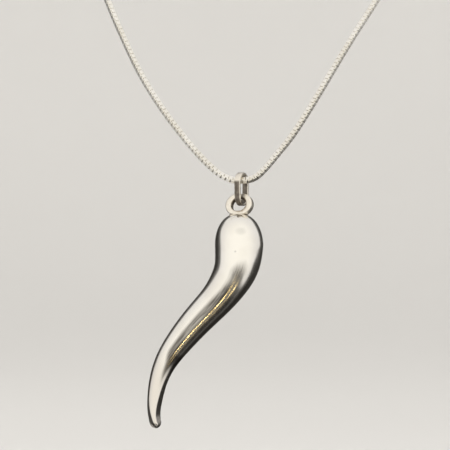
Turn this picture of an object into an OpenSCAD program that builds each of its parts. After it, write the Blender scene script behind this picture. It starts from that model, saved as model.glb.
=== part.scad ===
// Horn charm on a fine box chain, worn round a neck. Millimetres, +Z up, the wearer's
// front towards -Y. The origin is at the nape, where the clasp's inner side meets the neck.
// The front pieces are placed from the chain's centre inside the bail, at nape_to_bail.

/* [Chain] */
// Thickness of the box chain from edge to edge
chain_d = 1.2; // [1:0.05:1.25]
// Rings of the chain's tube for each stretch of its route
chain_steps = 2; // [1:1:3]

/* [Clasp] */
// Length of the plain barrel behind the neck
clasp_l = 10; // [8:0.5:10]
// Diameter of the barrel
clasp_d = 3; // [2.4:0.1:3]
// Chamfer at the ends of the barrel
clasp_chamfer = 0.6; // [0.3:0.1:0.8]

/* [Bail] */
// Width of the flat strip that is bent into the bail
strip_w = 1.15; // [1.05:0.05:1.2]
// Thickness of the strip
strip_t = 0.5; // [0.45:0.05:0.55]
// Height of the bail over its outside
bail_h = 6.2; // [6.1:0.05:6.3]
// Depth of the bail over its outside
bail_depth = 3.9; // [3.8:0.05:4]
// Height of the bail's top above the chain's centre
bail_rise = 1.5; // [1.45:0.05:1.6]
// Turn of the bail about the vertical, its front side to the left
bail_turn = 28; // [26:1:30]

/* [Eye ring] */
// Width of the soldered ring over its outside
eye_w = 5.3; // [5.1:0.05:5.4]
// Height of the ring over its outside
eye_h = 4.1; // [4:0.05:4.2]
// Width of the hole
hole_w = 3; // [2.9:0.05:3.1]
// Height of the hole
hole_h = 2.6; // [2.55:0.05:2.7]
// Length of the ring along its hole
eye_l = 1.35; // [1.2:0.05:1.4]
// Lean of the ring, which turns its face up
eye_lean = 20; // [18:1:21]
// Turn of the ring, which turns its face to the left
eye_turn = 26; // [24:1:28]

/* [Horn] */
// Height of the horn's rounded top, down to its widest place
dome_h = 6; // [5.8:0.1:6.2]
// Radius of the horn at its widest place
bulb_r = 4.5; // [4.3:0.05:4.6]
// Length of the rounded tip
tip_l = 1.3; // [0.9:0.05:1.3]
// How far the horn's lower part curves back from its top
horn_back = 4.8; // [3.6:0.2:5.2]
// Sides of the horn's round section
horn_sides = 32; // [16:4:40]
// Rings of the horn for each stretch between two rows of its table
horn_steps = 3; // [1:1:4]

/* [Hidden] */
$fn = 64;
silver = [0.80, 0.79, 0.76];
dark_silver = [0.66, 0.65, 0.63];

// The chain's centre inside the bail, from the nape
nape_to_bail = [0, -118, -104];
// The middle of the eye ring, from the chain inside the bail
eye_at = [-0.35, -0.4, -4.55];
// Place across and in depth of the middle of the horn's rounded top
crown_x = -0.6;
crown_y = -1.1;

// Sections of the horn from its widest place to its tip: across, the share of the way
// back, up, and radius
horn_rows = [
    // x, back, z, r
    [-0.45, 0.02, -12.0, bulb_r],
    [-0.65, 0.06, -15.2, 4.28],
    [-1.60, 0.14, -17.7, 3.88],
    [-3.00, 0.235, -20.0, 3.52],
    [-4.60, 0.34, -22.1, 3.23],
    [-6.40, 0.44, -24.0, 3.07],
    [-9.10, 0.60, -26.9, 2.85],
    [-11.6, 0.755, -30.0, 2.56],
    [-13.9, 0.89, -33.2, 2.18],
    [-15.5, 0.975, -36.9, 1.74],
    [-16.15, 1.00, -40.7, 1.45],
    [-16.25, 0.99, -44.7, 1.07],
];
// Rings of the rounded top and of the rounded tip
dome_rings = 9;
tip_rings = 4;

// The chain's centre line from the bail round the neck to the clasp: across, back, up
route_left = [
    [0, 0, 0], [-1.5, 0, 0.1], [-3, 0, 0.6], [-4.6, 0.2, 1.6],
    [-7.2, 0.7, 4], [-10.6, 1.6, 7.9], [-14.8, 3, 13.5], [-18.6, 4.6, 19.6],
    [-22, 6.6, 26.6], [-25.4, 9.2, 34.6], [-29.8, 14, 46.4], [-35.2, 22, 59.6],
    [-41.6, 33.4, 73], [-48, 47.6, 84.8], [-52.6, 63.6, 93.8], [-54, 80, 100],
    [-50, 95, 103.6], [-39.4, 107.6, 105.2], [-23.6, 116, 104.6], [-5.2, 119.5, 104],
];
route_right = [
    [0, 0, 0], [1.5, 0, 0.15], [2.9, 0, 0.8], [4.3, 0.2, 2.1],
    [6.5, 0.7, 4.7], [9.6, 1.6, 8.6], [13.2, 2.8, 14.2], [16.8, 4.4, 20.2],
    [20.8, 6.4, 26.8], [25.8, 9.4, 34.6], [32.6, 14.8, 45.6], [39.4, 23, 57.8],
    [45.2, 33.8, 70.6], [50.2, 47.6, 83.4], [53.4, 63.6, 93.4], [54, 80, 100],
    [50, 95, 103.6], [39.4, 107.6, 105.2], [23.6, 116, 104.6], [5.2, 119.5, 104],
];
chain_sides = 8;

function unit(v) = v / norm(v);

// The first three of a row's values, as a point
function place(row) = [row[0], row[1], row[2]];

// A value on the smooth curve through a, b, c and d, at t of the way from b to c
function curve_at(a, b, c, d, t) =
    0.5 * (2 * b + (c - a) * t + (2 * a - 5 * b + 4 * c - d) * t * t
        + (3 * b - 3 * c + d - a) * t * t * t);

// The smooth curve through a list's rows, with steps rows for each stretch. It sets out from
// the first row as if it came from the row before, and it runs straight out at the end.
function smooth(rows, steps, before) =
    let (n = len(rows), after = 2 * rows[n - 1] - rows[n - 2])
    [
        for (i = [0:n - 2], k = [0:steps - 1])
            curve_at(
                i == 0 ? before : rows[i - 1], rows[i], rows[i + 1],
                i == n - 2 ? after : rows[i + 2], k / steps
            ),
        rows[n - 1],
    ];

// The direction of a line of points at each of them, with its first and last direction given
function headings(points, first, last) =
    let (n = len(points))
    [for (i = [0:n - 1])
        i == 0 ? first : i == n - 1 ? last : unit(points[i + 1] - points[i - 1])];

// A side direction for each heading, carried along from the first with no twist
function carried(ahead, side, i = 0) =
    i == len(ahead) ? [] :
    let (here = unit(side - (side * ahead[i]) * ahead[i]))
    concat([here], carried(ahead, here, i + 1));

// A closed skin swept along a line of points, round at each with its own radius
module sweep(points, radii, sides, first, last, side) {
    ahead = headings(points, first, last);
    u = carried(ahead, side);
    n = len(points);
    ring_points = [
        for (i = [0:n - 1], k = [0:sides - 1])
            let (a = 360 * k / sides)
            points[i] + radii[i] * (cos(a) * u[i] + sin(a) * cross(ahead[i], u[i]))
    ];
    walls = [
        for (i = [0:n - 2], k = [0:sides - 1], half = [0, 1])
            let (a = i * sides + k, b = i * sides + (k + 1) % sides)
            half == 0 ? [a, a + sides, b] : [b, a + sides, b + sides]
    ];
    start_cap = [for (k = [0:sides - 1]) k];
    end_cap = [for (k = [sides - 1:-1:0]) (n - 1) * sides + k];
    polyhedron(ring_points, concat([start_cap], walls, [end_cap]));
}

// Half of the chain, as a tube of the same thickness from the bail to the clasp
module chain_half(route, way) {
    line = smooth(route, chain_steps, -route[1]);
    translate(nape_to_bail)
        sweep(
            line, [for (p = line) chain_d / 2], chain_sides,
            [way, 0, 0], [-way, 0, 0], [0, 1, 0]
        );
}

module chain_left() {
    color(silver) chain_half(route_left, -1);
}

module chain_right() {
    color(silver) chain_half(route_right, 1);
}

// A plain barrel across the nape, its inner side at the origin
module clasp() {
    body_l = clasp_l - 2 * clasp_chamfer;
    end_r = clasp_d / 2 - clasp_chamfer;
    color(dark_silver) translate([0, clasp_d / 2, 0]) rotate([0, 90, 0]) {
        cylinder(h = body_l, r = clasp_d / 2, center = true);
        for (end = [0, 1])
            mirror([0, 0, end]) translate([0, 0, body_l / 2])
                cylinder(h = clasp_chamfer, r1 = clasp_d / 2, r2 = end_r);
    }
}

// An outline with round ends, w across and h high, whichever of the two is longer
module slot_outline(w, h) {
    r = min(w, h) / 2;
    square(h > w ? [w, h - w] : [w - h, h], center = true);
    for (end = [-1, 1])
        translate(end * [w / 2 - r, h / 2 - r]) circle(r);
}

// The strip bent into a long loop, which the chain and the eye ring both pass through
module bail() {
    color(dark_silver) translate(nape_to_bail + [0, 0, bail_rise - bail_h / 2])
        rotate([0, 0, -bail_turn]) rotate([90, 0, 90])
            linear_extrude(height = strip_w, center = true) difference() {
                slot_outline(bail_depth, bail_h);
                slot_outline(bail_depth - 2 * strip_t, bail_h - 2 * strip_t);
            }
}

// The ring on the horn's top, seen from the front with its hole along Y before it is turned
module eye_ring() {
    translate(eye_at) rotate([0, 0, -eye_turn]) rotate([-eye_lean, 0, 0]) rotate([90, 0, 0])
        linear_extrude(height = eye_l, center = true) difference() {
            slot_outline(eye_w, eye_h);
            slot_outline(hole_w, hole_h);
        }
}

// The solid horn: a rounded top, the swept body of the table, and a rounded tip
module horn_body() {
    crown = [crown_x, crown_y, horn_rows[0][2] + dome_h];
    placed = [
        for (row = horn_rows) [row[0], crown_y + horn_back * row[1], row[2], row[3]]
    ];
    widest = placed[0];
    mirrored = [widest[0], widest[1], 2 * widest[2] - placed[1][2], placed[1][3]];
    body = smooth(placed, horn_steps, mirrored);
    last = body[len(body) - 1];
    tip_ahead = unit(place(last) - place(body[len(body) - 2]));
    dome = [
        for (i = [0:dome_rings - 1])
            let (a = 90 * (i + 0.5) / (dome_rings + 0.5))
            concat(crown + (1 - cos(a)) * (place(widest) - crown), bulb_r * sin(a))
    ];
    tip = [
        for (i = [1:tip_rings])
            let (a = 90 * i / (tip_rings + 0.5))
            concat(place(last) + tip_l * sin(a) * tip_ahead, last[3] * cos(a))
    ];
    rows = concat(dome, body, tip);
    sweep(
        [for (row = rows) place(row)], [for (row = rows) row[3]], horn_sides,
        unit(place(widest) - crown), tip_ahead, [1, 0, 0]
    );
}

// The horn and its eye ring, soldered into one solid
module horn() {
    color(silver) translate(nape_to_bail) {
        horn_body();
        eye_ring();
    }
}

chain_left();
chain_right();
clasp();
bail();
horn();
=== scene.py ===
from math import atan2, cos, pi, radians, sin

import bmesh
import bpy
import numpy as np
from mathutils import Matrix, Vector


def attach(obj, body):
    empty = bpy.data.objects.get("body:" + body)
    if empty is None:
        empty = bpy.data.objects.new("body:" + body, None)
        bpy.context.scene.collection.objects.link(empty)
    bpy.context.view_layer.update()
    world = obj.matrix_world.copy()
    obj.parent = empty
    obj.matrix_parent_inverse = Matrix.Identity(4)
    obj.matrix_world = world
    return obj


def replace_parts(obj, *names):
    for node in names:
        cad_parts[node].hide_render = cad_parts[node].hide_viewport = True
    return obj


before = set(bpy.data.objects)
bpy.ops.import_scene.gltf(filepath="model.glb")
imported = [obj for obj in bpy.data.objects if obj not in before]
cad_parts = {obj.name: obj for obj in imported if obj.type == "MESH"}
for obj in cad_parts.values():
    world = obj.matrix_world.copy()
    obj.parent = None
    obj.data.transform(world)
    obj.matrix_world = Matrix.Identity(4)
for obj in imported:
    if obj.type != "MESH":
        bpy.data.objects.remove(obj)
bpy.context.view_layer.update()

MM = 0.001
# The chain's middle inside the bail, in millimetres from the nape. The pendant's sizes and the
# chain's route below are millimetres from this place: across, back and up.
CHAIN_IN_BAIL = Vector((0, -118, -104))
TO_METRES = Matrix.Scale(MM, 4) @ Matrix.Translation(CHAIN_IN_BAIL)


def placed(x, y, z):
    """A place given from the chain's middle inside the bail, in metres from the nape."""
    return (CHAIN_IN_BAIL + Vector((x, y, z))) * MM


# ---- Camera: level, square on, as far off as the photograph was taken

SENSOR = 36
# How much the view takes in at the pendant, and where the camera stands
VIEW_WIDE = 83.33
CAMERA_ACROSS, CAMERA_OFF, CAMERA_UP = -3.06, 450, -8.24
camera = bpy.data.objects.new("camera", bpy.data.cameras.new("camera"))
bpy.context.scene.collection.objects.link(camera)
camera.location = placed(CAMERA_ACROSS, -CAMERA_OFF, CAMERA_UP)
camera.rotation_euler = (pi / 2, 0, 0)
camera.data.sensor_width = SENSOR
camera.data.lens = SENSOR * CAMERA_OFF / VIEW_WIDE
camera.data.clip_start = 0.01
camera.data.clip_end = 20
bpy.context.scene.camera = camera


# ---- Curves and sweeps

# Vertices that are nearer than this, in metres, are one
MERGED = 1e-7


def curve_at(a, b, c, d, t):
    """The smooth curve through a, b, c and d, at t of the way from b to c."""
    return 0.5 * (
        2 * b
        + (c - a) * t
        + (2 * a - 5 * b + 4 * c - d) * t * t
        + (3 * b - 3 * c + d - a) * t * t * t
    )


def smooth_rows(rows, steps, before):
    """The smooth curve through rows of numbers, with steps rows for each stretch."""
    rows = [np.array(before, float)] + [np.array(row, float) for row in rows]
    rows.append(2 * rows[-1] - rows[-2])
    curve = [
        curve_at(*rows[i : i + 4], k / steps)
        for i in range(len(rows) - 3)
        for k in range(steps)
    ]
    return curve + [rows[-2]]


def turned_to(x, y, z):
    """The turn that lays X, Y and Z along three directions."""
    return Matrix((x, y, z)).transposed().to_4x4()


def frames_along(points, side, first=None, last=None):
    """A frame at each point: its X is carried along with no twist, its Z follows the line."""
    frames = []
    for i, point in enumerate(points):
        ahead = points[min(i + 1, len(points) - 1)] - points[max(i - 1, 0)]
        if i == 0 and first:
            ahead = first
        if i == len(points) - 1 and last:
            ahead = last
        ahead = ahead.normalized()
        side = (side - side.dot(ahead) * ahead).normalized()
        frames.append(Matrix.Translation(point) @ turned_to(side, ahead.cross(side), ahead))
    return frames


def round_outline(sides, radius=1):
    """A circle round the origin, as a list of points."""
    angles = [2 * pi * k / sides for k in range(sides)]
    return [(radius * cos(a), radius * sin(a), 0) for a in angles]


def swept(bm, outline, places, closed=False):
    """Carries a closed outline through places, each a matrix, by extruding its edges. It
    gives all the vertices, ring by ring, and those of the last ring."""
    verts = [bm.verts.new(p) for p in outline]
    edges = [bm.edges.new((a, b)) for a, b in zip(verts, verts[1:] + verts[:1])]
    bmesh.ops.transform(bm, matrix=places[0], verts=verts)
    made, stops = list(verts), places[1:] + (places[:1] if closed else [])
    here = places[0]
    for there in stops:
        grown = bmesh.ops.extrude_edge_only(bm, edges=edges)["geom"]
        edges = [g for g in grown if isinstance(g, bmesh.types.BMEdge)]
        verts = [g for g in grown if isinstance(g, bmesh.types.BMVert)]
        edges = [e for e in edges if all(v in verts for v in e.verts)]
        bmesh.ops.transform(bm, matrix=there @ here.inverted(), verts=verts)
        made += verts
        here = there
    if closed:
        bmesh.ops.remove_doubles(bm, verts=made, dist=MERGED)
    return made, verts


def capped(bm, ring, pole):
    """Closes an open ring of vertices with a smooth pole."""
    edges = [e for e in bm.edges if e.is_boundary and all(v in ring for v in e.verts)]
    grown = bmesh.ops.extrude_edge_only(bm, edges=edges)["geom"]
    verts = [g for g in grown if isinstance(g, bmesh.types.BMVert)]
    bmesh.ops.pointmerge(bm, verts=verts, merge_co=pole)


def smooth_mesh(name, bm):
    """A smooth mesh from a bmesh, with its faces turned outwards."""
    bmesh.ops.recalc_face_normals(bm, faces=bm.faces)
    for face in bm.faces:
        face.smooth = True
    mesh = bpy.data.meshes.new(name)
    bm.to_mesh(mesh)
    bm.free()
    return mesh


def put_in_scene(mesh, finishes):
    """An object of a mesh's name, with its finishes."""
    made = bpy.data.objects.new(mesh.name, mesh)
    bpy.context.scene.collection.objects.link(made)
    for finish in finishes:
        mesh.materials.append(finish)
    return made


def piece(mesh, body, finishes):
    """A finished piece from a mesh, riding on its body."""
    made = put_in_scene(mesh, finishes)
    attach(made, body)
    return made


# ---- Finishes


class Term:
    """One output of a node, so that sums are written as in Python."""

    def __init__(self, finish, socket):
        self.finish, self.socket = finish, socket

    def sum_of(self, operation, first, second):
        return self.finish.node("Math", {"operation": operation}, {0: first, 1: second})

    def __add__(self, other):
        return self.sum_of("ADD", self, other)

    def __radd__(self, other):
        return self.sum_of("ADD", other, self)

    def __sub__(self, other):
        return self.sum_of("SUBTRACT", self, other)

    def __rsub__(self, other):
        return self.sum_of("SUBTRACT", other, self)

    def __mul__(self, other):
        return self.sum_of("MULTIPLY", self, other)

    def __rmul__(self, other):
        return self.sum_of("MULTIPLY", other, self)


class Nodes:
    """The nodes of a material or of the world, made through one method."""

    def __init__(self, tree):
        self.tree = tree

    def node(self, kind, settings=None, inputs=None, output=0):
        """A node of a kind, its settings set first, then its sockets' values or links."""
        made = self.tree.nodes.new("ShaderNode" + kind)
        for name, value in (settings or {}).items():
            setattr(made, name, value)
        for name, value in (inputs or {}).items():
            if isinstance(value, Term):
                self.tree.links.new(value.socket, made.inputs[name])
            else:
                made.inputs[name].default_value = value
        return Term(self, made.outputs[output])

    def fade(self, value, low, high, to_low=0.0, to_high=1.0):
        """A soft step from to_low to to_high while value goes from low to high."""
        return self.node(
            "MapRange",
            {"interpolation_type": "SMOOTHSTEP"},
            {"Value": value, 1: low, 2: high, 3: to_low, 4: to_high},
        )

    def size_of(self, value):
        """A number without its sign."""
        return self.node("Math", {"operation": "ABSOLUTE"}, {0: value})

    def parts(self, vector):
        """The X, Y and Z of a vector."""
        split = self.node("SeparateXYZ", None, {"Vector": vector})
        return [Term(self, socket) for socket in split.socket.node.outputs]

    def mixed(self, amount, first, second):
        """A colour between two, which are colours or nodes."""
        first, second = (c if isinstance(c, Term) else (*c, 1) for c in (first, second))
        return self.node("Mix", {"data_type": "RGBA"}, {0: amount, 6: first, 7: second}, 2)


class Finish(Nodes):
    """A finish, of metal unless told otherwise, and what varies over a piece."""

    def __init__(self, name, **constants):
        self.material = bpy.data.materials.new(name)
        self.material.use_nodes = True
        super().__init__(self.material.node_tree)
        self.metal = self.tree.nodes["Principled BSDF"]
        self.metal.inputs["Metallic"].default_value = 1
        for socket, value in constants.items():
            self.metal.inputs[socket].default_value = value
        self.spot = self.node("TexCoord", output="Object")

    def clouds(self, across, detail):
        """Soft noise from 0 to 1 whose patches are across millimetres wide."""
        return self.node(
            "TexNoise",
            None,
            {
                "Vector": self.spot,
                "Scale": 1 / (across * MM),
                "Detail": detail,
                "Roughness": 0.55,
            },
        )

    def streaks(self, across, along, turn, detail=3.0, lay=None):
        """Brushed lines: a line's width and length in millimetres, along Z before its turn.
        With a piece's own lay they follow it, and their width is a share of its radius."""
        unit = 1 if lay else MM
        where = self.node(
            "Mapping",
            {"vector_type": "TEXTURE"},
            {
                "Vector": lay or self.spot,
                "Rotation": tuple(radians(a) for a in turn),
                "Scale": (across * unit, across * unit, along * unit),
            },
        )
        return self.node("TexNoise", None, {"Vector": where, "Scale": 1, "Detail": detail})

    def near(self, middle, radius, soft, size=(1, 1, 1), turn=(0, 0, 0)):
        """1 inside an egg round a middle, and 0 outside its soft edge. Millimetres."""
        where = self.node(
            "Mapping",
            {"vector_type": "TEXTURE"},
            {
                "Vector": self.spot,
                "Location": tuple(placed(*middle)),
                "Rotation": tuple(radians(a) for a in turn),
                "Scale": size,
            },
        )
        gap = self.node("VectorMath", {"operation": "LENGTH"}, {0: where}, "Value")
        return self.fade(gap, radius * MM, (radius + soft) * MM, 1.0, 0.0)

    def paint(self, colour=None, roughness=None, height=None, depth=0.01, strength=1.0):
        """Links what varies: the colour, the roughness and a height in a bump."""
        if colour:
            self.tree.links.new(colour.socket, self.metal.inputs["Base Color"])
        if roughness:
            self.tree.links.new(roughness.socket, self.metal.inputs["Roughness"])
        if height:
            bump = self.node(
                "Bump", None, {"Height": height, "Distance": depth * MM, "Strength": strength}
            )
            self.tree.links.new(bump.socket, self.metal.inputs["Normal"])
        return self.material


def polished_silver():
    """The horn's worn polish: soft brushing along it, fine scratches and a few marks. Painted
    reflections darken a band down its front, more so below it, and a rubbed, rougher patch;
    painted shade browns the crease round the ring's foot."""
    f = Finish("polished_silver")
    lay = f.node("Attribute", {"attribute_name": "lay"}, output=1)
    side, ahead, along = f.parts(lay)
    tone = f.clouds(4.0, 2.0)
    haze = f.clouds(1.2, 2.5)
    brushed = f.streaks(0.055, 3.2, (0, 0, 0), 2.0, lay)
    scratches = f.fade(f.streaks(0.08, 1.8, (20, -68, 10)), 0.66, 0.74)
    crossing = f.fade(f.streaks(0.08, 2.4, (0, 12, 40)), 0.68, 0.76)
    pits = f.fade(f.clouds(0.35, 0.0), 0.76, 0.82)
    # Painted shade: the crease round the ring's foot is painted brown
    foot = f.near((-0.5, -1.05, -6.15), 0.72, 0.15, (2.1, 1, 1), (0, 0, -EYE_TURN))
    # A rubbed, rougher patch with brushed lines; its dark colour is a painted reflection
    rubbed_and_painted_light = f.near((-1.0, -5.4, -17.6), 0.55, 1.5, (1, 1, 1.9), (0, 32, 0))
    smudge = f.near((-0.2, -4.9, -9.4), 0.3, 0.7, (1.3, 1, 1))
    dent = f.near((-1.2, -5.4, -13.1), 0.1, 0.14)
    # Painted reflection: a dark band down the front stands in for the dark room seen in the
    # silver; it is thinner on the gold line and darker below it
    front = f.fade(ahead, 0.2, 0.5)
    left = side + 0.15 * f.fade(along, 13.0, 18.0) - 0.4 * f.fade(along, 29.5, 34.0)
    painted_reflection_band = front * f.fade(left, -0.34, -0.06) * f.fade(side, 0.08, 0.28, 1, 0)
    painted_reflection_band = painted_reflection_band * f.fade(along, 11.0, 14.0) * f.fade(along, 30.3, 35.0, 1, 0)
    on_gold = f.fade(side, -0.15, 0.0) * f.fade(along, 17.0, 22.0)
    painted_reflection_band = painted_reflection_band * (1 - 0.4 * on_gold * f.fade(along, 25.0, 28.5, 1, 0))
    painted_reflection_below = front * f.fade(side, 0.02, 0.3) * f.fade(along, 28.9, 30.5)
    painted_reflection_below = painted_reflection_below * f.fade(along, 31.5, 35.5, 1, 0)
    wear = scratches + crossing
    colour = f.mixed(f.fade(tone, 0.35, 0.7), (0.95, 0.925, 0.87), (0.9, 0.87, 0.81))
    colour = f.mixed(f.fade(along, 27.0, 37.0), colour, (0.8, 0.76, 0.705))
    # Painted shade in the crease round the ring's foot
    colour = f.mixed(foot * f.fade(haze, 0.3, 0.6, 0.6, 0.9), colour, (0.24, 0.19, 0.14))
    lines = f.fade(brushed, 0.3, 0.65)
    # The rubbed patch's dark colour is a painted reflection
    colour = f.mixed(rubbed_and_painted_light * (0.35 + 0.6 * lines), colour, (0.25, 0.235, 0.22))
    # Painted reflections of the dark room: the band down the front and the darker part below
    # it
    colour = f.mixed(painted_reflection_band * (0.66 + 0.3 * lines), colour, (0.13, 0.118, 0.105))
    colour = f.mixed(0.8 * painted_reflection_below, colour, (0.1, 0.09, 0.08))
    colour = f.mixed(0.3 * smudge + 0.55 * dent, colour, (0.5, 0.49, 0.46))
    rough = 0.14 + 0.04 * f.fade(haze, 0.35, 0.7) + 0.08 * wear + 0.06 * brushed * tone
    rough = rough + 0.12 * rubbed_and_painted_light + 0.06 * f.fade(along, 42.5, 45.0)
    height = 0.5 * brushed + 0.08 * haze - 0.4 * wear - 0.8 * pits - 2.0 * dent
    return f.paint(colour, rough, height, 0.004, 0.09)


def ring_silver():
    """The eye ring's softer finish, browned in its hole, with painted shade in the crease
    where it meets the horn.
    """
    f = Finish("ring_silver")
    haze = f.clouds(0.6, 4.0)
    file_marks = f.streaks(0.07, 1.1, (0, 64, 0))
    hole = f.near(EYE_AT, 1.2, 0.45, (1, 2, 1))
    # Painted shade in the crease where the ring meets the horn
    crease_shade = f.near((-0.45, -0.6, -6.64), 0.4, 0.12, (9, 8, 1))
    colour = f.mixed(f.fade(haze, 0.35, 0.7), (0.95, 0.9, 0.81), (0.87, 0.81, 0.71))
    colour = f.mixed(hole * f.fade(haze, 0.2, 0.6, 0.6, 0.95), colour, (0.36, 0.27, 0.18))
    colour = f.mixed(crease_shade * f.fade(haze, 0.3, 0.6, 0.5, 1.0), colour, (0.22, 0.17, 0.12))
    rough = 0.24 + 0.16 * haze + 0.1 * file_marks
    return f.paint(colour, rough, 0.5 * file_marks + 0.6 * haze, 0.008, 0.6)


def dulled_silver():
    """The bail's greyed strip, with brighter silver on its rubbed edges and on its top, which
    is partly rubbed and partly a painted highlight.
    """
    f = Finish("dulled_silver")
    haze = f.clouds(0.7, 4.0)
    file_marks = f.streaks(0.06, 1.6, (0, 0, 0))
    turned = f.node(
        "Mapping",
        {"vector_type": "TEXTURE"},
        {
            "Vector": f.spot,
            "Location": tuple(placed(0, 0, 0)),
            "Rotation": (0, 0, radians(-BAIL_TURN)),
        },
    )
    across, _, up = f.parts(turned)
    edge = f.fade(f.size_of(across), 0.4 * MM, 0.56 * MM)
    # The top: partly rubbed, partly a painted highlight where the light falls on it
    rubbed_top_and_highlight = f.fade(up, -0.35 * MM, 0.15 * MM)
    foot = f.fade(up, -4.5 * MM, -4.0 * MM, 0.5, 0.0)
    rubbed_and_painted_light = rubbed_top_and_highlight + foot + edge * f.fade(haze, 0.25, 0.6, 0.35, 0.9) * (1 - rubbed_top_and_highlight - foot)
    colour = f.mixed(f.fade(haze, 0.3, 0.7), (0.14, 0.12, 0.1), (0.26, 0.23, 0.195))
    # Brighter where rubbed, and on the top also a painted highlight
    colour = f.mixed(rubbed_and_painted_light, colour, (0.88, 0.83, 0.74))
    rough = 0.3 + 0.16 * haze + 0.08 * file_marks - 0.06 * rubbed_and_painted_light
    return f.paint(colour, rough, 0.5 * file_marks + 0.6 * haze, 0.008, 0.6)


def chain_silver():
    """The links' finish, a little duller in patches where the chain is handled."""
    f = Finish("chain_silver")
    patches = f.clouds(5.0, 3.0)
    haze = f.clouds(0.25, 2.0)
    colour = f.mixed(f.fade(patches, 0.35, 0.65), (1.0, 0.98, 0.93), (0.93, 0.9, 0.83))
    rough = 0.2 + 0.12 * patches + 0.12 * haze
    return f.paint(colour, rough, haze, 0.004, 0.3)


def clasp_silver():
    """The barrel's turned finish, with lines round it."""
    f = Finish("clasp_silver")
    lines = f.streaks(0.06, 4.0, (90, 0, 0))
    haze = f.clouds(0.8, 4.0)
    colour = f.mixed(f.fade(haze, 0.35, 0.7), (0.9, 0.88, 0.82), (0.76, 0.73, 0.67))
    rough = 0.2 + 0.12 * haze + 0.12 * lines
    return f.paint(colour, rough, 0.6 * lines + 0.4 * haze, 0.006, 0.5)


# ---- Horn and eye ring

BULB_R = 4.5
DOME_H = 5.88
# How full the shoulders of the rounded top are: 1 is round, and less is fuller
DOME_FULL = 0.85
TIP_L = 1.3
# How far the tip's end turns from the way that the horn goes there
TIP_TURN = Vector((0.25, 0, 0))
# The flats filed on the tip: the way round from the right towards the front in degrees, and
# how wide each is: millimetres below the chain, and half the width there in degrees
FLATS = [
    (30, [(35.0, 0), (36.9, 18), (40.7, 35), (44.0, 54), (46.0, 44)]),
    (150, [(40.0, 0), (41.7, 14), (43.5, 27), (44.7, 38), (45.8, 54)]),
]
HORN_BACK = 4.8
HORN_SIDES = 64
# Rings of the rounded top, of each stretch between two rows below, and of the tip, and the
# rounds of softening that take out the rows' unevenness
DOME_RINGS, STRETCH_RINGS, TIP_RINGS, SOFTENINGS = 18, 6, 7, 16
CROWN = Vector((-0.65, -1.1, -6.12))
HORN_ROWS = [
    # across, share of the way back, up, radius
    (-0.45, 0.02, -12.0, BULB_R),
    (-0.65, 0.06, -15.2, 4.28),
    (-1.60, 0.14, -17.7, 3.88),
    (-3.00, 0.235, -20.0, 3.52),
    (-4.60, 0.34, -22.1, 3.23),
    (-6.40, 0.44, -24.0, 3.07),
    (-9.10, 0.60, -26.9, 2.85),
    (-11.6, 0.755, -30.0, 2.56),
    (-13.9, 0.89, -33.2, 2.18),
    (-15.5, 0.975, -36.9, 1.74),
    (-16.15, 1.00, -40.7, 1.45),
    (-16.30, 0.995, -42.9, 1.27),
    (-16.07, 0.99, -44.9, 1.12),
]
EYE_AT = (-0.35, -0.4, -4.55)
EYE_W, EYE_H, HOLE_W, HOLE_H, EYE_L = 5.3, 4.1, 3.0, 2.6, 1.35
EYE_LEAN, EYE_TURN, BAIL_TURN = 20, 26, 28
# How the ring's and the bail's edges are rounded, as shares of their thickness and in
# millimetres, and the steps round each corner and round the whole ring
RING_EDGE, BAIL_EDGE = (0.26, 0.22), (0.28, 0.16)
CORNER_STEPS, RING_STEPS = 4, 72
# The bead of solder: its steps round the ring's foot, and how thick its wire is
SEAM_STEPS, SEAM_R = 48, 0.07


def horn_rows():
    """Rows of the whole horn from its top to its tip: across, back, up and radius. The end of
    the tip comes with them."""
    rows = [np.array((x, CROWN.y + HORN_BACK * share, z, r)) for x, share, z, r in HORN_ROWS]
    widest = rows[0]
    mirrored = (widest[0], widest[1], 2 * widest[2] - rows[1][2], rows[1][3])
    body = smooth_rows(rows, STRETCH_RINGS, mirrored)
    for _ in range(SOFTENINGS):
        softer = [(a + 2 * b + c) / 4 for a, b, c in zip(body, body[1:], body[2:])]
        body[1:-1] = softer
    crown = np.array((*CROWN, 0))
    dome = []
    for i in range(DOME_RINGS):
        a = pi / 2 * (i + 0.5) / (DOME_RINGS + 0.5)
        row = crown + (1 - cos(a)) * (widest - crown)
        row[3] = BULB_R * sin(a) ** DOME_FULL
        dome.append(row)
    ahead = (Vector(body[-1][:3] - body[-2][:3]).normalized() + TIP_TURN).normalized()
    tip = []
    for i in range(1, TIP_RINGS + 1):
        a = pi / 2 * i / (TIP_RINGS + 0.5)
        row = body[-1].copy()
        row[:3] += TIP_L * sin(a) * np.array(ahead)
        row[3] *= cos(a)
        tip.append(row)
    return dome + body + tip, Vector(body[-1][:3]) + TIP_L * ahead


def strip_outline(edge, width):
    """The section of a flat strip from x 0 to 1, width across. Its edge says how far in x and
    y each corner is rounded."""
    corner_x, corner_y = edge
    outline = []
    for start, side_x, side_y in ((0, 1, 1), (90, 0, 1), (180, 0, -1), (270, 1, -1)):
        middle = (abs(side_x - corner_x), side_y * (width / 2 - corner_y))
        for k in range(CORNER_STEPS + 1):
            a = radians(start + 90 * k / CORNER_STEPS)
            outline.append(
                (middle[0] + corner_x * cos(a), middle[1] + corner_y * sin(a), 0)
            )
    return outline


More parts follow.
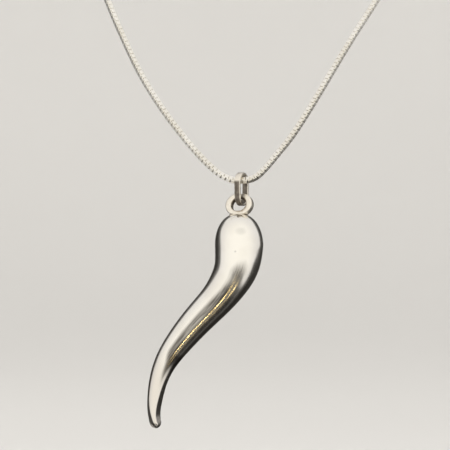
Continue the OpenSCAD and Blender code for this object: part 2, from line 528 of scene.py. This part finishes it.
def slot_place(w, h, hole_w, hole_h, angle):
    """Where a slotted ring's strip runs at an angle: X from the hole to the outside."""
    outer_r, inner_r = min(w, h) / 2, min(hole_w, hole_h) / 2
    way = Vector((cos(angle), 0, sin(angle)))
    toward = Vector(((cos(angle) > 0) * 2 - 1, 0, (sin(angle) > 0) * 2 - 1))
    outer = Vector((toward.x * (w / 2 - outer_r), 0, toward.z * (h / 2 - outer_r)))
    inner = Vector((toward.x * (hole_w / 2 - inner_r), 0, toward.z * (hole_h / 2 - inner_r)))
    outer += outer_r * way
    inner += inner_r * way
    across = outer - inner
    ahead = Vector((-sin(angle), 0, cos(angle)))
    return Matrix.Translation(inner) @ turned_to(across, Vector((0, 1, 0)), ahead)


def slot_angles():
    """Angles round a slotted ring that never fall on its straight sides' middles."""
    return [2 * pi * (k + 0.5) / RING_STEPS for k in range(RING_STEPS)]


def eye_ring(bm):
    """The ring on the horn's top, turned and leaned as the solid is, with its solder."""
    stand = (
        Matrix.Translation(Vector(EYE_AT))
        @ Matrix.Rotation(radians(-EYE_TURN), 4, "Z")
        @ Matrix.Rotation(radians(-EYE_LEAN), 4, "X")
    )
    places = [
        TO_METRES @ stand @ slot_place(EYE_W, EYE_H, HOLE_W, HOLE_H, a) for a in slot_angles()
    ]
    before = set(bm.faces)
    swept(bm, strip_outline(RING_EDGE, EYE_L), places, closed=True)
    solder_seam(bm, stand)
    for face in set(bm.faces) - before:
        face.material_index = 1


def bulb_gap(point):
    """How far a point is outside the horn's rounded top, in millimetres."""
    down = min(max((CROWN.z - point.z) / DOME_H, 0.0), 1.0)
    widest_x, share, widest_z, _ = HORN_ROWS[0]
    middle = CROWN.lerp(Vector((widest_x, CROWN.y + HORN_BACK * share, widest_z)), down)
    radius = BULB_R * (1 - (1 - down) ** 2) ** (DOME_FULL / 2)
    return (Vector((point.x, point.y)) - Vector((middle.x, middle.y))).length - radius


def solder_seam(bm, stand):
    """The bead of solder round the ring's foot, where it meets the rounded top."""
    half_w, half_d, corner = 1.55, EYE_L / 2 + 0.05, 0.4
    line = []
    for k in range(SEAM_STEPS):
        a = 2 * pi * (k + 0.5) / SEAM_STEPS
        reach_x = half_w - corner if cos(a) > 0 else corner - half_w
        reach_y = half_d - corner if sin(a) > 0 else corner - half_d
        foot = Vector((reach_x + corner * cos(a), reach_y + corner * sin(a), 0))
        # Halving finds where the ring's side goes into the horn, between these two heights
        low, high = -2.6, -0.9
        for _ in range(24):
            foot.z = (low + high) / 2
            low, high = (foot.z, high) if bulb_gap(stand @ foot) < 0 else (low, foot.z)
        line.append(stand @ foot)
    places = []
    for k, point in enumerate(line):
        ahead = (line[(k + 1) % SEAM_STEPS] - line[k - 1]).normalized()
        side = Vector((0, 0, 1)).cross(ahead).normalized()
        thick = SEAM_R + 0.01 * sin(3 * k * pi / 12 + 1) + 0.01 * sin(7 * k * pi / 24)
        places.append(
            TO_METRES
            @ Matrix.Translation(point)
            @ turned_to(side, ahead.cross(side), ahead)
            @ Matrix.Diagonal((thick, thick, 1, 1))
        )
    swept(bm, round_outline(10), places, closed=True)


def horn():
    """The horn with its soldered ring, in one mesh. Each point keeps its place in the horn's
    round section and its millimetres along the horn, for the brushing."""
    bm = bmesh.new()
    lay = bm.verts.layers.float_vector.new("lay")
    rows, tip_end = horn_rows()
    points = [Vector(row[:3]) for row in rows]
    frames = frames_along(points, Vector((1, 0, 0)), points[DOME_RINGS - 1] - CROWN)
    places = [
        TO_METRES @ f @ Matrix.Diagonal((row[3], row[3], 1, 1)) for f, row in zip(frames, rows)
    ]
    made, last = swept(bm, round_outline(HORN_SIDES), places)
    for i, (place, row) in enumerate(zip(places, rows)):
        along = sum((b - a).length for a, b in zip(points[:i], points[1 : i + 1]))
        for vert in made[i * HORN_SIDES : (i + 1) * HORN_SIDES]:
            on_ring = place.inverted() @ vert.co
            vert[lay] = (on_ring.x, on_ring.y, along)
            for way, halves in FLATS:
                half = radians(np.interp(-row[2], *zip(*halves)))
                off = abs(atan2(on_ring.y, on_ring.x) - radians(way))
                if off < half:
                    vert.co = place @ (on_ring * (cos(half) / cos(off)))
    capped(bm, set(made[:HORN_SIDES]), TO_METRES @ CROWN)
    capped(bm, set(last), TO_METRES @ tip_end)
    eye_ring(bm)
    mesh = smooth_mesh("horn_polished", bm)
    return piece(mesh, "charm", [polished_silver(), ring_silver()])


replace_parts(horn(), "horn")


# ---- Bail: a flat strip bent into a long loop

STRIP_W, STRIP_T = 1.15, 0.5
BAIL_H, BAIL_DEPTH, BAIL_RISE = 6.2, 3.9, 1.5
# How much nearer its two sides are at the bottom than at the top
BAIL_NARROWS = 0.15


def bail():
    """The strip's loop, a little narrower at its foot."""
    bm = bmesh.new()
    stand = Matrix.Translation(Vector((0, 0, BAIL_RISE - BAIL_H / 2))) @ Matrix.Rotation(
        radians(90 - BAIL_TURN), 4, "Z"
    )
    inside_d, inside_h = BAIL_DEPTH - 2 * STRIP_T, BAIL_H - 2 * STRIP_T
    places = []
    for a in slot_angles():
        place = slot_place(BAIL_DEPTH, BAIL_H, inside_d, inside_h, a)
        place.translation.x *= 1 - BAIL_NARROWS * (0.5 - place.translation.z / BAIL_H)
        places.append(TO_METRES @ stand @ place)
    swept(bm, strip_outline(BAIL_EDGE, STRIP_W), places, closed=True)
    return piece(smooth_mesh("bail_strip", bm), "bail", [dulled_silver()])


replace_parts(bail(), "bail")


# ---- Chain: square links, each turned a quarter from the last and passing through it

# From the middle of one link to the next
LINK_STEP = 0.45
LINK_W, LINK_L, LINK_T, STRIP_ACROSS = 1.08, 0.87, 0.15, 0.76
# The radius of a link's corners, and the bevel on the edges of its strip
LINK_CORNER, LINK_BEVEL = 0.17, 0.05
# Steps of the curve for each stretch of a route
ROUTE_STEPS = 24
ROUTE_LEFT = [
    (0, 0, 0), (-1.5, 0, 0.1), (-3, 0, 0.6), (-4.6, 0.2, 1.6),
    (-7.2, 0.7, 4), (-10.6, 1.6, 7.9), (-14.8, 3, 13.5), (-18.6, 4.6, 19.6),
    (-22, 6.6, 26.6), (-25.4, 9.2, 34.6), (-29.8, 14, 46.4), (-35.2, 22, 59.6),
    (-41.6, 33.4, 73), (-48, 47.6, 84.8), (-52.6, 63.6, 93.8), (-54, 80, 100),
    (-50, 95, 103.6), (-39.4, 107.6, 105.2), (-23.6, 116, 104.6), (-5.4, 119.5, 104),
]
ROUTE_RIGHT = [
    (0, 0, 0), (1.5, 0, 0.15), (2.9, 0, 0.8), (4.3, 0.2, 2.1),
    (6.5, 0.7, 4.7), (9.6, 1.6, 8.6), (13.2, 2.8, 14.2), (16.8, 4.4, 20.2),
    (20.8, 6.4, 26.8), (25.8, 9.4, 34.6), (32.6, 14.8, 45.6), (39.4, 23, 57.8),
    (45.2, 33.8, 70.6), (50.2, 47.6, 83.4), (53.4, 63.6, 93.4), (54, 80, 100),
    (50, 95, 103.6), (39.4, 107.6, 105.2), (23.6, 116, 104.6), (5.4, 119.5, 104),
]


def link():
    """One link, its hole along Y and the chain along Z, as vertices and faces."""
    bm = bmesh.new()
    corner_in = LINK_CORNER - LINK_T
    half = STRIP_ACROSS / 2
    outline = [
        (corner_in, -half, 0),
        (LINK_CORNER - LINK_BEVEL, -half, 0),
        (LINK_CORNER, LINK_BEVEL - half, 0),
        (LINK_CORNER, half - LINK_BEVEL, 0),
        (LINK_CORNER - LINK_BEVEL, half, 0),
        (corner_in, half, 0),
    ]
    places = []
    corner_x, corner_z = LINK_W / 2 - LINK_CORNER, LINK_L / 2 - LINK_CORNER
    for start, side_x, side_z in ((0, 1, 1), (2, -1, 1), (4, -1, -1), (6, 1, -1)):
        middle = Matrix.Translation((side_x * corner_x, 0, side_z * corner_z))
        for k in range(3):
            places.append(middle @ Matrix.Rotation(-pi / 4 * (start + k), 4, "Y"))
    swept(bm, outline, places, closed=True)
    bmesh.ops.recalc_face_normals(bm, faces=bm.faces)
    bm.verts.index_update()
    verts = np.array([v.co for v in bm.verts])
    faces = np.array([[v.index for v in face.verts] for face in bm.faces])
    bm.free()
    return verts, faces


def chain_half(name, route, way, quarter, finish):
    """The links of half the chain in one mesh, from inside the bail to the clasp. Its way is
    -1 to the left or 1 to the right, and its first link is turned a quarter or not."""
    line = smooth_rows(route, ROUTE_STEPS, [-n for n in route[1]])
    points = [Vector(row) for row in line]
    frames = frames_along(points, Vector((0, 1, 0)), Vector((way, 0, 0)), Vector((-way, 0, 0)))
    steps = [0.0]
    for a, b in zip(points, points[1:]):
        steps.append(steps[-1] + (b - a).length)
    count = round(steps[-1] / LINK_STEP)
    link_verts, link_faces = link()
    verts, faces = [], []
    for i in range(count):
        at = steps[-1] * (i + 0.5) / count
        k = min(int(np.searchsorted(steps, at)), len(points) - 1)
        share = (at - steps[k - 1]) / (steps[k] - steps[k - 1])
        here = points[k - 1].lerp(points[k], share)
        turned = frames[k - 1].to_quaternion().slerp(frames[k].to_quaternion(), share)
        roll = Matrix.Rotation(pi / 4 + pi / 2 * ((i + quarter) % 2), 3, "Z")
        laid = np.array(turned.to_matrix() @ roll)
        verts.append(link_verts @ laid.T + np.array(here + CHAIN_IN_BAIL))
        faces.append(link_faces + i * len(link_verts))
    mesh = bpy.data.meshes.new(name)
    mesh.from_pydata(np.concatenate(verts) * MM, [], np.concatenate(faces).tolist())
    mesh.update()
    return piece(mesh, "necklace", [finish])


links_finish = chain_silver()
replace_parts(chain_half("chain_links_left", ROUTE_LEFT, -1, 0, links_finish), "chain_left")
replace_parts(chain_half("chain_links_right", ROUTE_RIGHT, 1, 1, links_finish), "chain_right")


# ---- Clasp: a turned barrel with a small loop at each end

CLASP_R = 1.5
BARREL_ROWS = [
    # along from the middle, radius
    (0.0, 1.42), (0.12, 1.42), (0.2, 1.5), (3.2, 1.5), (3.35, 1.36), (3.55, 1.36),
    (3.7, 1.5), (4.1, 1.5), (4.4, 1.4), (4.65, 1.1), (4.75, 0.7), (4.75, 0.0),
]
# The end loops: where their middles are, their size and their wire's
LOOP_AT, LOOP_R, LOOP_WIRE_R, LOOP_STEPS = 5.15, 0.57, 0.17, 28
TURNED_STEPS = 48


def spun(bm, profile, middle, axis, steps):
    """Turns a line of vertices all the way round an axis through the middle."""
    edges = [bm.edges.new(pair) for pair in zip(profile, profile[1:])]
    bmesh.ops.spin(
        bm,
        geom=profile + edges,
        cent=middle,
        axis=axis,
        angle=2 * pi,
        steps=steps,
        use_merge=True,
    )


def clasp():
    """The barrel across the nape, its inner side at the origin, with both its loops."""
    bm = bmesh.new()
    middle = Vector((0, CLASP_R, 0)) * MM
    for way in (-1, 1):
        profile = [
            bm.verts.new(middle + Vector((way * x * MM, 0, r * MM))) for x, r in BARREL_ROWS
        ]
        spun(bm, profile, middle, (1, 0, 0), TURNED_STEPS)
        places = [
            Matrix.Translation(middle + Vector((way * LOOP_AT * MM, 0, 0)))
            @ Matrix.Scale(MM, 4)
            @ Matrix.Rotation(2 * pi * k / LOOP_STEPS, 4, "Y")
            @ Matrix.Translation((LOOP_R, 0, 0))
            for k in range(LOOP_STEPS)
        ]
        swept(bm, round_outline(12, LOOP_WIRE_R), places, closed=True)
    bmesh.ops.remove_doubles(bm, verts=bm.verts, dist=MERGED)
    mesh = smooth_mesh("clasp_barrel", bm)
    return piece(mesh, "necklace", [clasp_silver()])


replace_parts(clasp(), "clasp")


# ---- Stage, world and lights

# The floor in metres: its middle back, its height, its flat part, and its wall's reach and top
FLOOR_BACK, FLOOR_Z, FLAT_R, WALL_R, WALL_H = -0.1, -0.17, 0.35, 2.4, 3.4
SWEEP_STEPS, ROUND_STEPS = 24, 96


def stage():
    """A round pale floor that sweeps up into a wall, so that no edge shows from any side."""
    bm = bmesh.new()
    rows = [(0, FLOOR_Z), (FLAT_R / 2, FLOOR_Z)]
    for k in range(SWEEP_STEPS + 1):
        out = k / SWEEP_STEPS
        rows.append((FLAT_R + (WALL_R - FLAT_R) * out, FLOOR_Z + WALL_H * out**4))
    profile = [bm.verts.new((r, FLOOR_BACK, z)) for r, z in rows]
    spun(bm, profile, (0, FLOOR_BACK, 0), (0, 0, 1), ROUND_STEPS)
    bmesh.ops.remove_doubles(bm, verts=bm.verts, dist=10 * MERGED)
    f = Finish("pale_floor", Metallic=0, Roughness=0.9)
    grain = f.clouds(200, 2.0)
    pale = f.mixed(f.fade(grain, 0.3, 0.7), (0.65, 0.645, 0.635), (0.645, 0.64, 0.63))
    floor = put_in_scene(smooth_mesh("floor", bm), [f.paint(pale)])
    floor.visible_glossy = False
    floor.visible_shadow = False


def world_light():
    """The room that the silver shows: bright before it and to both sides, dim low in front,
    dark below but for its left and a patch on its right, and dark behind but for a patch
    straight behind and another overhead."""
    world = bpy.data.worlds.new("studio")
    bpy.context.scene.world = world
    world.use_nodes = True
    w = Nodes(world.node_tree)
    light = w.tree.nodes["Background"]
    x, y, z = w.parts(w.node("TexCoord", output="Generated"))
    left_end = w.fade(z, 0.0, 0.45, 0.15, 0.42)
    right_end = w.fade(z, -0.42, 0.04, -0.08, 0.48)
    to_right = w.fade(x, -0.3, 0.3)
    beyond = y - left_end * (1 - to_right) - right_end * to_right
    beyond = beyond - w.fade(z, 0.45, 0.85, 0.0, 0.28)
    front = w.fade(beyond, -0.08, 0.08, 1.0, 0.0)
    glow = (1 - front) * w.fade(beyond, 0.0, 0.45, 1.0, 0.0) * (0.18 - 0.09 * to_right)
    low = w.fade(z, -0.64, -0.42, 0.17, 1.0) * w.fade(z, -0.86, -0.74, 0.05, 1.0)
    lobe = 0.8 * w.fade(x, 0.47, 0.59) * w.fade(z, -0.79, -0.75)
    lower_left = w.fade(x, -0.05, 0.15, 1.0, 0.0) * w.fade(y, -0.5, -0.25)
    extra = lobe + lower_left
    room = front * (low + extra * (1 - low)) + glow
    behind = (1 - front) * (0.6 * w.fade(z, 0.6, 0.85) + 0.6 * w.fade(y, 0.9, 0.97))
    bright = w.mixed(w.fade(y, -1.0, 0.3), (1.04, 1.01, 0.94), (0.82, 0.8, 0.78))
    dark = w.mixed(w.fade(z, -0.85, -0.4), (0.012, 0.01, 0.008), (0.035, 0.033, 0.03))
    colour = w.mixed(room + behind * (1 - room), dark, bright)
    w.tree.links.new(colour.socket, light.inputs["Color"])


def panel(name, first, second, high, power, colour, in_silver):
    """A light from one place to another, high millimetres across, facing the pendant. It
    shows only in the silver, or only on the floor."""
    light = bpy.data.lights.new(name, "AREA")
    light.shape = "RECTANGLE"
    light.size, light.size_y = (second - first).length, high * MM
    light.energy = power
    light.color = colour
    made = bpy.data.objects.new(name, light)
    bpy.context.scene.collection.objects.link(made)
    middle = (first + second) / 2
    away = (middle - PENDANT).normalized()
    along = second - first
    along = (along - along.dot(away) * away).normalized()
    made.matrix_world = Matrix.Translation(middle) @ turned_to(along, away.cross(along), away)
    made.visible_glossy = in_silver
    made.visible_diffuse = not in_silver
    made.visible_camera = False


PENDANT = placed(-8, 0, -25)
# How far off the thin lights are that show as gold lines, in metres
GOLD_OFF = 0.5
stage()
world_light()
over_left = PENDANT + Vector((-0.8, -1.2, 1.3))
over_right = over_left + Vector((0.9, 0, 0))
panel("key", over_left, over_right, 900, 30, (1, 0.98, 0.95), False)
for name, first, second, power in (
    ("gold_line", (0.0, -0.70, -0.71), (0.035, -0.72, -0.694), 0.042),
    ("gold_strand", (0.27, -0.57, -0.77), (0.34, -0.57, -0.74), 0.013),
):
    ends = [PENDANT + GOLD_OFF * Vector(way) for way in (first, second)]
    panel(name, *ends, 10, power, (1, 0.75, 0.33), True)
bpy.context.scene.view_settings.view_transform = "Standard"
